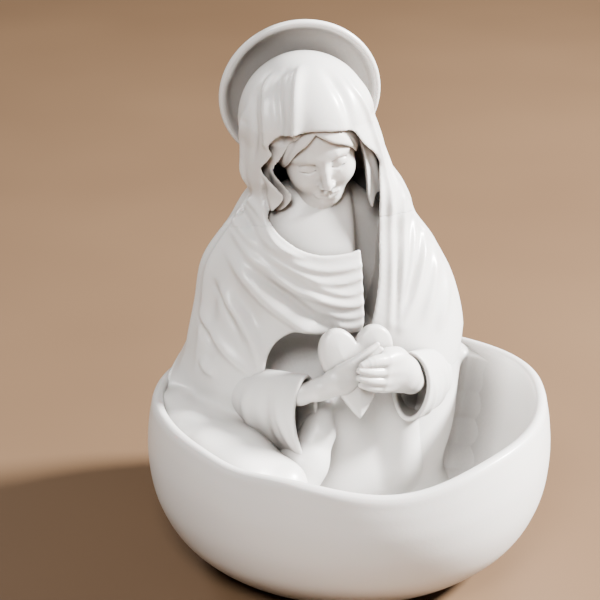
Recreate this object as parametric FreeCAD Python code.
"""Madonna half figure rising from the back of a round bowl, with a dish halo behind the head.

White slip-cast ceramic, cast as separate pieces that are luted together: the bowl, the robe
body, the mantle, the veil and its long front fall, the head, two sleeves, two hands, the heart
and the halo. A felt disc is glued under the bowl and covers the vent hole of the hollow figure.

Frame: millimetres, +Z up, the figure faces -Y, and the origin is the centre of the felt disc's
underside, on the bowl's axis.
"""

import FreeCAD
import Part

import math
import os

V = FreeCAD.Vector

# ---- bowl -------------------------------------------------------------------------------
BOWL_RADIUS = 61.0  # widest, outside
BOWL_HEIGHT = 50.0  # mean height of the rim above the table
BELLY_HEIGHT = 34.0  # height of the widest point
RIM_TUCK = 1.7  # how far the rim comes back in from the widest point
FOOT_RADIUS = 39.0  # flat underside of the bowl
BOWL_WALL = 4.0
BOWL_FLOOR = 5.0
FRONT_DIP = 4.6  # how much lower the rim is at the front
SIDE_RISE = 2.2  # how much higher it is at the two sides

# ---- felt disc and vent hole ------------------------------------------------------------
FELT_RADIUS = 35.0
FELT_THICKNESS = 1.2
VENT_RADIUS = 3.5

# ---- figure -----------------------------------------------------------------------------
MANTLE_WALL = 3.2
ROBE_WALL = 6.4  # thick enough for the hollow at the chest
LUTE_GAP = 0.15  # slip or glue line between two castings
FIGURE_HALF_WIDTH = 44.0  # mantle at the elbows
FIGURE_HALF_DEPTH = 31.0  # mantle at the elbows, front to back
ELBOW_HEIGHT = 50.0
SHOULDER_HEIGHT = 98.0
COLLAR_RISE = 11.0  # from the shoulders up to the foot of the neck
NECK_RADIUS = 7.0
SPIGOT_RADIUS = 5.5  # peg under the neck, in its socket in the robe body
SPIGOT_LENGTH = 9.0

# ---- head, hair and veil ----------------------------------------------------------------
HEAD_LEAN = 8.5  # how far the head's place is off the bowl's axis, to the figure's right
HEAD_HEIGHT = 132.8  # centre of the hood above the table
HEAD_HALF_WIDTH = 12.0
HEAD_LENGTH = 34.0  # crown to chin
BOW = 17.0  # degrees that the head is bowed forward
TILT = 13.0  # degrees that it is tilted to the figure's right
TURN = 8.0  # degrees that it is turned to the figure's right
HAIR_THICKNESS = 1.5
VEIL_RADIUS = 19.4  # outside of the hood over the head
VEIL_WALL = 3.0  # how far the veil's hem stands off the mantle

# ---- halo -------------------------------------------------------------------------------
HALO_RADIUS = 24.5
HALO_THICKNESS = 2.2
HALO_DISH = 4.0  # depth of the dish
HALO_SETBACK = 12.4  # from the hood's centre back to the plane of the halo's rim
HALO_OFFSET = V(0.8, 0, 0.3)  # the halo's centre from the point straight behind the hood's centre
HALO_FACING = V(-0.12, -0.97, -0.21)  # the way the halo looks: forward and a little down

# ---- heart, hands and sleeves -----------------------------------------------------------
HEART_WIDTH = 23.0
HEART_HEIGHT = 27.5
HEART_THICKNESS = 6.0
HEART_CENTRE = V(-1.3, -13.0, 63.5)
HEART_TILT = 12.0  # degrees that its top leans back
HEART_PEG_RADIUS = 1.8  # peg from the heart's back into the robe body
HEART_PEG_DEPTH = 5.0  # how far it goes in
WRIST_RADIUS = 3.6
PALM_RADIUS = 4.4
FINGER_RADIUS = 1.5
FINGER_COUNT = 4
HAND_LENGTH = 25.0  # from the cuff to the fingertips
RIGHT_WRIST = V(-17.5, -12.5, 57.5)
LEFT_WRIST = V(16.5, -12.5, 57.0)
RIGHT_REACH = V(19, -4.5, 15)  # the way the right hand points, rising over the heart
LEFT_REACH = V(-21, -9.0, 8)  # the way the left hand points, across the right one
SLEEVE_HALF_WIDTH = 7.0
CUFF_HALF_HEIGHT = 13.5
CUFF_DROP = 8.0  # from the wrist down to the middle of the cuff
CUFF_WALL = 2.0
CUFF_DEPTH = 5.0  # how deep the cuff is open round the wrist
PEG_LENGTH = 4.5  # how far the wrist goes on into the sleeve beyond that

AXIS = V(0, 0, 1)
HALO_FACING.normalize()
seat_z = FELT_THICKNESS + BOWL_FLOOR  # top of the bowl's floor, where the figure stands
inner_radius = BOWL_RADIUS - RIM_TUCK - BOWL_WALL  # inside of the rim
figure_y = inner_radius - FIGURE_HALF_DEPTH  # the mantle's back meets the bowl's wall
collar_height = SHOULDER_HEIGHT + COLLAR_RISE


def wire_of(edges):
    return Part.Wire(Part.__sortEdges__(edges))


def spline(points):
    curve = Part.BSplineCurve()
    curve.interpolate(points)
    return curve.toShape()


def polyline(points):
    return [Part.LineSegment(a, b).toShape() for a, b in zip(points, points[1:])]


def revolved(edges):
    """A full turn of an outline in the XZ plane about the Z axis."""
    face = Part.Face(wire_of(edges))
    return face.revolve(V(), AXIS, 360)


def ellipse_wire(x, y, z, half_x, half_y):
    """A level ellipse; both halves may be the longer one."""
    along_x = half_x >= half_y
    major, minor = (half_x, half_y) if along_x else (half_y, half_x)
    curve = Part.Ellipse(V(x, y, z), major, minor)
    shape = curve.toShape()
    if not along_x:
        shape.rotate(V(x, y, z), AXIS, 90)
    return Part.Wire(shape)


def stack(sections):
    """A smooth solid through level ellipses, each (x, y, z, half_x, half_y)."""
    return Part.makeLoft([ellipse_wire(*s) for s in sections], True, False)


def shrunk(sections, wall):
    return [(x, y, z, half_x - wall, half_y - wall) for x, y, z, half_x, half_y in sections]


def ellipsoid(centre, half_x, half_y, half_z):
    shape = Part.makeSphere(1.0)
    matrix = FreeCAD.Matrix()
    matrix.scale(half_x, half_y, half_z)
    shape = shape.transformGeometry(matrix)
    shape.translate(centre)
    return shape


def turned(shape, towards, place):
    """Turns a shape made along +Z to look along a direction, and moves it to its place."""
    shape.Placement = FreeCAD.Placement(place, FreeCAD.Rotation(AXIS, towards)).multiply(shape.Placement)
    return shape


def tapered_rod(points_and_radii):
    """A rod with round joints through (point, radius) pairs."""
    pieces = [Part.makeSphere(r, p) for p, r in points_and_radii]
    for (a, ra), (b, rb) in zip(points_and_radii, points_and_radii[1:]):
        run = b - a
        if abs(ra - rb) < 1e-6:
            pieces.append(Part.makeCylinder(ra, run.Length, a, run))
        else:
            pieces.append(Part.makeCone(ra, rb, run.Length, a, run))
    return pieces[0].fuse(pieces[1:]).removeSplitter()


# ---- bowl -------------------------------------------------------------------------------
def bowl_outline():
    """Half outline of the bowl's outside, from the foot to above the rim."""
    rim_radius = BOWL_RADIUS - RIM_TUCK
    flare = BOWL_RADIUS - FOOT_RADIUS
    rise = BELLY_HEIGHT - FELT_THICKNESS
    return [
        V(FOOT_RADIUS, 0, FELT_THICKNESS),
        V(FOOT_RADIUS + 0.45 * flare, 0, FELT_THICKNESS + 0.13 * rise),
        V(FOOT_RADIUS + 0.81 * flare, 0, FELT_THICKNESS + 0.45 * rise),
        V(BOWL_RADIUS, 0, BELLY_HEIGHT),
        V(rim_radius, 0, BOWL_HEIGHT + SIDE_RISE + 4),
    ]


def hollow_outline(gap):
    """Half outline of the bowl's inside: the outside, moved in by the wall and a gap."""
    foot, heel, side, belly, rim = bowl_outline()
    wall = BOWL_WALL + gap
    return [
        V(foot.x, 0, seat_z + gap),
        V(heel.x - 0.2 * wall, 0, heel.z + BOWL_FLOOR + gap - 0.4),
        V(side.x - 0.9 * wall, 0, side.z + 0.55 * wall),
        V(belly.x - wall, 0, belly.z),
        V(rim.x - wall, 0, rim.z),
    ]


def turned_solid(outline):
    foot, top = outline[0], outline[-1]
    closing = polyline([top, V(0, 0, top.z), V(0, 0, foot.z), foot])
    return revolved([spline(outline)] + closing)


def rim_height(x, y):
    """Height of the rim over a point: low at the front and high at the two sides."""
    sideways, forwards = x / BOWL_RADIUS, max(0.0, -y / BOWL_RADIUS)
    return BOWL_HEIGHT - FRONT_DIP * forwards**10 + SIDE_RISE * sideways**6


def above_rim():
    """Everything above the rim's wave, which trims the bowl."""
    steps = 12
    reach = 1.15 * BOWL_RADIUS
    grid = []
    for i in range(steps + 1):
        x = reach * (2 * i / steps - 1)
        row = []
        for j in range(steps + 1):
            y = reach * (2 * j / steps - 1)
            row.append(V(x, y, rim_height(x, y)))
        grid.append(row)
    surface = Part.BSplineSurface()
    surface.interpolate(grid)
    return surface.toShape().extrude(V(0, 0, BOWL_HEIGHT))


def make_bowl():
    shell = turned_solid(bowl_outline()).cut(bowl_hollow())
    shell = shell.cut(above_rim())
    vent = Part.makeCylinder(VENT_RADIUS, 3 * BOWL_FLOOR, V(0, figure_y, -BOWL_FLOOR))
    return shell.cut(vent)


def bowl_hollow(gap=0.0):
    """The bowl's inside as a solid, going on upward past the whole figure, drawn in by a gap."""
    outline = hollow_outline(gap)
    top = outline[-1]
    column = Part.makeCylinder(top.x, 4 * BOWL_HEIGHT, V(0, 0, top.z))
    return turned_solid(outline).fuse(column)


def make_felt():
    return Part.makeCylinder(FELT_RADIUS, FELT_THICKNESS)


# ---- robe and mantle --------------------------------------------------------------------
def mantle_sections():
    """Level ellipses of the mantle's outside, from the bowl's floor to the collar."""
    width, depth, y = FIGURE_HALF_WIDTH, FIGURE_HALF_DEPTH, figure_y
    rise = SHOULDER_HEIGHT - ELBOW_HEIGHT
    return [
        (-1.5, y, seat_z, width - 8.5, depth - 5),
        (-1.5, y, 0.5 * (seat_z + ELBOW_HEIGHT), width - 1.5, depth - 0.5),
        (-1.5, y, ELBOW_HEIGHT, width, depth),
        (-1.3, y - 0.3, ELBOW_HEIGHT + 0.25 * rise, width - 1.5, depth - 2.5),
        (-1.8, y - 1, ELBOW_HEIGHT + 0.52 * rise, width - 5, depth - 5.2),
        (-3.5, y - 2, ELBOW_HEIGHT + 0.79 * rise, width - 9, depth - 8.5),
        (-4.0, y - 3, SHOULDER_HEIGHT, width - 16, depth - 12.5),
        (-4.5, y - 4.5, collar_height, width - 26, depth - 19),
    ]


def mantle_block(gap=0.0):
    return stack(shrunk(mantle_sections(), gap))


def front_window():
    """The opening in the mantle's front, from the lap up to the folds over the chest."""
    centre = V(-2, figure_y - FIGURE_HALF_DEPTH, ELBOW_HEIGHT - 8)
    return ellipsoid(centre, 0.6 * FIGURE_HALF_WIDTH, 14, 30)


def chest_hollow():
    """The deep hollow above the right forearm, behind the heart."""
    centre = V(-0.36 * FIGURE_HALF_WIDTH, figure_y - FIGURE_HALF_DEPTH + 1, ELBOW_HEIGHT + 14)
    return ellipsoid(centre, 13, 10, 9)


def neckline():
    """The hollow at the throat, where the mantle's folds leave the robe bare."""
    centre = V(-HEAD_LEAN + 1.5, figure_y - 20, collar_height - 3)
    return ellipsoid(centre, 15.5, 13, 12.5)


def make_mantle():
    shell = mantle_block().cut(mantle_block(MANTLE_WALL))
    shell = shell.cut(front_window()).cut(neckline()).cut(chest_hollow())
    return shell.common(bowl_hollow(LUTE_GAP))


def robe_block():
    return mantle_block(MANTLE_WALL + LUTE_GAP)


def neck_foot():
    return V(-HEAD_LEAN + 3, figure_y - 7, collar_height - 4)


def neck_peg(gap):
    """The spigot under the neck; grown by the lute gap it is its own socket."""
    return Part.makeCylinder(SPIGOT_RADIUS + gap, SPIGOT_LENGTH + gap, neck_foot() + V(0, 0, 2), V(0, 0, -1))


def heart_peg(gap):
    """The peg behind the heart, running back into the robe body."""
    chest = figure_y - FIGURE_HALF_DEPTH + 2.2 + MANTLE_WALL
    length = chest + HEART_PEG_DEPTH - HEART_CENTRE.y
    return Part.makeCylinder(HEART_PEG_RADIUS + gap, length + gap, HEART_CENTRE, V(0, 1, 0))


def make_robe_body():
    block = robe_block()
    hollow = stack(shrunk(mantle_sections()[:-2], MANTLE_WALL + LUTE_GAP + ROBE_WALL))
    hollow.translate(V(0, 0, -1))
    block = block.cut(hollow).cut(chest_hollow()).cut(neck_peg(LUTE_GAP)).cut(heart_peg(LUTE_GAP))
    return block.common(bowl_hollow(LUTE_GAP))


# ---- head, veil and halo ----------------------------------------------------------------
def hood_centre():
    return V(-HEAD_LEAN, figure_y - 4.3, HEAD_HEIGHT)


def head_turn():
    """The head's turn: bowed forward, tilted and turned to the figure's right."""
    bow = FreeCAD.Rotation(V(1, 0, 0), BOW)
    tilt = FreeCAD.Rotation(V(0, 1, 0), -TILT)
    turn = FreeCAD.Rotation(AXIS, -TURN)
    return tilt.multiply(bow).multiply(turn)


def skull_centre():
    return hood_centre() + V(1.3, -5.6, -3.2)


def head_egg(grow=0.0):
    """Cranium and jaw, bowed and turned, grown evenly by a little."""
    half = 0.5 * HEAD_LENGTH
    cranium = ellipsoid(V(0, 1, 0), HEAD_HALF_WIDTH + grow, HEAD_HALF_WIDTH + 2.5 + grow, 0.82 * half + grow)
    jaw = ellipsoid(V(0, -4.5, -0.45 * HEAD_LENGTH), 8.5 + grow, 7.5 + grow, 0.51 * half + grow)
    cheeks = ellipsoid(V(0, -4, -0.2 * HEAD_LENGTH), 10.5 + grow, 9 + grow, 0.55 * half + grow)
    egg = cranium.fuse([jaw, cheeks])
    egg.Placement = FreeCAD.Placement(skull_centre(), head_turn())
    return egg


def make_head():
    """Head, neck and the spigot under the neck."""
    foot = neck_foot()
    rise = skull_centre() - foot
    neck = Part.makeCylinder(NECK_RADIUS, rise.Length, foot, rise)
    bust = head_egg().fuse(neck).cut(robe_block())
    return biggest(bust.fuse(neck_peg(0)).removeSplitter())


def make_hair():
    """A smooth cap of hair over the brow and the crown."""
    cap = head_egg(HAIR_THICKNESS).cut(head_egg(LUTE_GAP))
    brow = Part.makeBox(60, 60, 40, V(-30, -30, 3))
    brow.Placement = FreeCAD.Placement(skull_centre(), head_turn()).multiply(brow.Placement)
    return biggest(cap.common(brow))


def veil_sections():
    """Level ellipses of the veil's outside, from the shoulders to the crown."""
    centre, radius = hood_centre(), VEIL_RADIUS
    width, depth, y = FIGURE_HALF_WIDTH, FIGURE_HALF_DEPTH, figure_y
    rise = HEAD_HEIGHT - SHOULDER_HEIGHT
    rows = [
        (-2.4, y - 1.8, SHOULDER_HEIGHT - 8, width - 7.2, depth - 7.5),
        (-3.3, y - 2.8, SHOULDER_HEIGHT, width - 13.7, depth - 10.2),
        (-2.1, y - 3.3, SHOULDER_HEIGHT + 0.17 * rise, width - 17.5, depth - 12),
        (-1.7, y - 3.8, SHOULDER_HEIGHT + 0.35 * rise, radius + 3.6, radius - 1),
        (-4.1, y - 4, SHOULDER_HEIGHT + 0.52 * rise, radius + 2.6, radius - 0.9),
        (-5.9, y - 4.2, SHOULDER_HEIGHT + 0.7 * rise, radius + 1.8, radius - 0.4),
        (-7.2, y - 4.3, SHOULDER_HEIGHT + 0.87 * rise, radius + 1, radius),
    ]
    for share in (0.05, 0.35, 0.65, 0.87, 0.995):
        half = radius * math.sqrt(1 - share**2)
        rows.append((centre.x, centre.y, centre.z + share * radius, half, half))
    return rows


def veil_block():
    return stack(veil_sections())


def head_room():
    """The space inside the hood, open at the front for the face and the throat."""
    face = ellipsoid(V(-HEAD_LEAN + 1.5, figure_y - 23, HEAD_HEIGHT - 16.5), 16, 14, 17.5)
    throat = ellipsoid(neck_foot() + V(0.5, -7, 6), 15, 15, 13)
    return head_egg(HAIR_THICKNESS + LUTE_GAP).fuse([face, throat])


def make_veil():
    shell = veil_block().cut(mantle_block(-LUTE_GAP)).cut(robe_block())
    shell = shell.cut(head_room()).cut(neckline()).cut(make_neck_core())
    return biggest(shell.cut(halo_blank(LUTE_GAP)))


def make_neck_core():
    """The neck's room inside the veil."""
    foot = neck_foot() + V(0, 0, -2)
    rise = skull_centre() - foot
    return Part.makeCylinder(NECK_RADIUS + LUTE_GAP, rise.Length, foot, rise)


def biggest(shape):
    return max(shape.Solids, key=lambda solid: solid.Volume)


def halo_blank(gap=0.0):
    """The halo's dish as turned, before it is cut to sit on the veil."""
    rim, floor = HALO_RADIUS, -HALO_DISH
    outline = [
        V(0, 0, floor + gap),
        V(0.5 * rim, 0, floor + gap),
        V(rim - 1.2, 0, gap),
        V(rim, 0, -0.9),
        V(rim - 1.2, 0, -0.9 - 0.6 * HALO_THICKNESS - gap),
        V(0.5 * rim, 0, floor - HALO_THICKNESS - gap),
        V(0, 0, floor - HALO_THICKNESS - gap),
    ]
    dish = revolved(polyline(outline + outline[:1]))
    return turned(dish, HALO_FACING, hood_centre() + HALO_OFFSET - HALO_FACING * HALO_SETBACK)


def make_halo():
    """The dish, set in a notch all round the back of the hood."""
    return biggest(halo_blank().cut(head_egg(HAIR_THICKNESS + LUTE_GAP)))


def make_veil_fall():
    """The veil's long front panel on the figure's left, hanging over the mantle to the forearm."""
    panel = mantle_block(-VEIL_WALL).cut(mantle_block(-LUTE_GAP))
    inner = HEART_CENTRE.x + 0.4 * HEART_WIDTH
    low, high, back = LEFT_WRIST.z + 9, collar_height, 2 * FIGURE_HALF_DEPTH
    corners = [V(inner, -back, low), V(inner + 2, -back, high), V(FIGURE_HALF_WIDTH, -back, high)]
    corners += [V(FIGURE_HALF_WIDTH + VEIL_WALL, -back, low - 8)]
    curtain = Part.Face(Part.makePolygon(corners + corners[:1])).extrude(V(0, back + figure_y - 6, 0))
    panel = panel.common(curtain).cut(veil_block()).cut(neckline())
    for piece in (make_sleeve(1), *make_hands_and_heart().values()):
        panel = panel.cut(piece)
    return biggest(panel.common(bowl_hollow(LUTE_GAP)))


# ---- sleeves, hands and heart -----------------------------------------------------------
def wrist(side):
    """Where a wrist leaves its cuff; side is -1 for the figure's right arm, +1 for its left."""
    return LEFT_WRIST if side > 0 else RIGHT_WRIST


def reach(side):
    """The way a hand points as it leaves its cuff."""
    way = V(LEFT_REACH if side > 0 else RIGHT_REACH)
    return way.normalize()


def upright(run):
    """The turn that puts a curve's long axis upright and its plane across a level run."""
    along = V(run.x, run.y, 0).normalize()
    across = AXIS.cross(along)
    matrix = FreeCAD.Matrix()
    matrix.A11, matrix.A21, matrix.A31 = 0, 0, 1
    matrix.A12, matrix.A22, matrix.A32 = across.x, across.y, 0
    matrix.A13, matrix.A23, matrix.A33 = -along.x, -along.y, 0
    return FreeCAD.Rotation(matrix)


def sleeve_line(side):
    """The middle of the sleeve at the elbow and at the cuff."""
    elbow = V(side * (FIGURE_HALF_WIDTH - 11), figure_y - 17, ELBOW_HEIGHT - 6)
    return elbow, wrist(side) - V(0, 0, CUFF_DROP)


def sleeve_oval(side, share, width, height):
    """An upright ellipse across the sleeve, at a share of the way from the elbow to the cuff."""
    elbow, cuff = sleeve_line(side)
    wire = Part.Wire(Part.Ellipse(V(), height, width).toShape())
    wire.Placement = FreeCAD.Placement(elbow + (cuff - elbow) * share, upright(cuff - elbow))
    return wire


def wrist_peg(side, gap):
    """The wrist inside the sleeve, along the sleeve; grown by the lute gap it is its own socket."""
    elbow, cuff = sleeve_line(side)
    back = (elbow - cuff).normalize()
    return Part.makeCylinder(WRIST_RADIUS + gap, CUFF_DEPTH + PEG_LENGTH + gap, wrist(side), back)


def knuckles(side):
    return wrist(side) + reach(side) * (0.5 * HAND_LENGTH)


def forearm(side, gap):
    """Wrist to knuckles; grown by the lute gap it clears the cuff's edge."""
    return tapered_rod([(wrist(side), WRIST_RADIUS + gap), (knuckles(side), PALM_RADIUS + gap)])


def make_sleeve(side):
    """A wide hanging sleeve, open round the wrist at the cuff."""
    width, height = SLEEVE_HALF_WIDTH, CUFF_HALF_HEIGHT
    ovals = [
        sleeve_oval(side, -0.2, 0.8 * width, 0.75 * height),
        sleeve_oval(side, 0.4, 1.05 * width, 0.9 * height),
        sleeve_oval(side, 1.0, width, height),
    ]
    sleeve = Part.makeLoft(ovals, True, False)
    elbow, cuff = sleeve_line(side)
    mouth = Part.Face(sleeve_oval(side, 1.0, width - CUFF_WALL, height - CUFF_WALL))
    mouth = mouth.extrude((elbow - cuff).normalize() * CUFF_DEPTH)
    mantle = mantle_block(-LUTE_GAP).cut(front_window())
    sleeve = sleeve.cut([mantle, robe_block(), mouth, wrist_peg(side, LUTE_GAP), forearm(side, LUTE_GAP)])
    return biggest(sleeve.common(bowl_hollow(LUTE_GAP)))


def make_hand(side):
    """Wrist, palm and four fingers side by side; the figure's left hand lies over its right."""
    start, way = wrist(side), reach(side)
    across = (AXIS - way * way.z).normalize()
    rods = [wrist_peg(side, 0), forearm(side, 0)]
    for i in range(FINGER_COUNT):
        offset = across * ((i - 0.5 * (FINGER_COUNT - 1)) * 1.9 * FINGER_RADIUS)
        tip = start + way * (HAND_LENGTH - FINGER_RADIUS - abs(i - 1.4)) + offset
        rods.append(tapered_rod([(knuckles(side) + offset, 1.15 * FINGER_RADIUS), (tip, FINGER_RADIUS)]))
    return rods[0].fuse(rods[1:]).removeSplitter()


def make_heart():
    """A heart-shaped plate: two round lobes and the straight sides that meet in its point."""
    lobe = 0.29 * HEART_WIDTH
    spread, lobe_z = 0.5 * HEART_WIDTH - lobe, 0.5 * HEART_HEIGHT - lobe
    point = V(0, 0, -0.5 * HEART_HEIGHT)
    slope = math.atan2(lobe_z - point.z, spread)
    distance = math.hypot(spread, lobe_z - point.z)
    side = slope - math.asin(lobe / distance)
    length = math.sqrt(distance**2 - lobe**2)
    touch = point + V(math.cos(side), 0, math.sin(side)) * length
    cleft = V(0, 0, lobe_z + 0.45 * lobe)
    outline = Part.makePolygon([point, touch, cleft, V(-touch.x, 0, touch.z), point])
    thick = V(0, HEART_THICKNESS, 0)
    plate = Part.Face(outline).extrude(thick)
    lobes = [Part.makeCylinder(lobe, HEART_THICKNESS, V(s * spread, 0, lobe_z), thick) for s in (-1, 1)]
    heart = plate.fuse(lobes).removeSplitter()
    heart.translate(V(0, -0.5 * HEART_THICKNESS, 0))
    heart.Placement = FreeCAD.Placement(HEART_CENTRE, FreeCAD.Rotation(V(1, 0, 0), -HEART_TILT))
    return heart


def make_hands_and_heart():
    """The two hands and the heart between them, each cut clear of the next."""
    left = make_hand(1)
    right = biggest(make_hand(-1).cut(left))
    heart = make_heart().cut([left, right, mantle_block(-LUTE_GAP)]).fuse(heart_peg(0))
    return {"left_hand": left, "right_hand": right, "heart": biggest(heart.cut([left, right]))}


def main():
    pieces = {
        "bowl": make_bowl(),
        "felt_base": make_felt(),
        "robe_body": make_robe_body(),
        "mantle": make_mantle(),
        "head": make_head(),
        "hair": make_hair(),
        "veil": make_veil(),
        "halo": make_halo(),
        "veil_fall": make_veil_fall(),
        "right_sleeve": make_sleeve(-1),
        "left_sleeve": make_sleeve(1),
        **make_hands_and_heart(),
    }
    os.makedirs("parts", exist_ok=True)
    for name, shape in pieces.items():
        print(name, "solids", len(shape.Solids), "valid", shape.isValid(), "volume", round(shape.Volume))
        shape.exportStep(f"parts/{name}.step")


main()
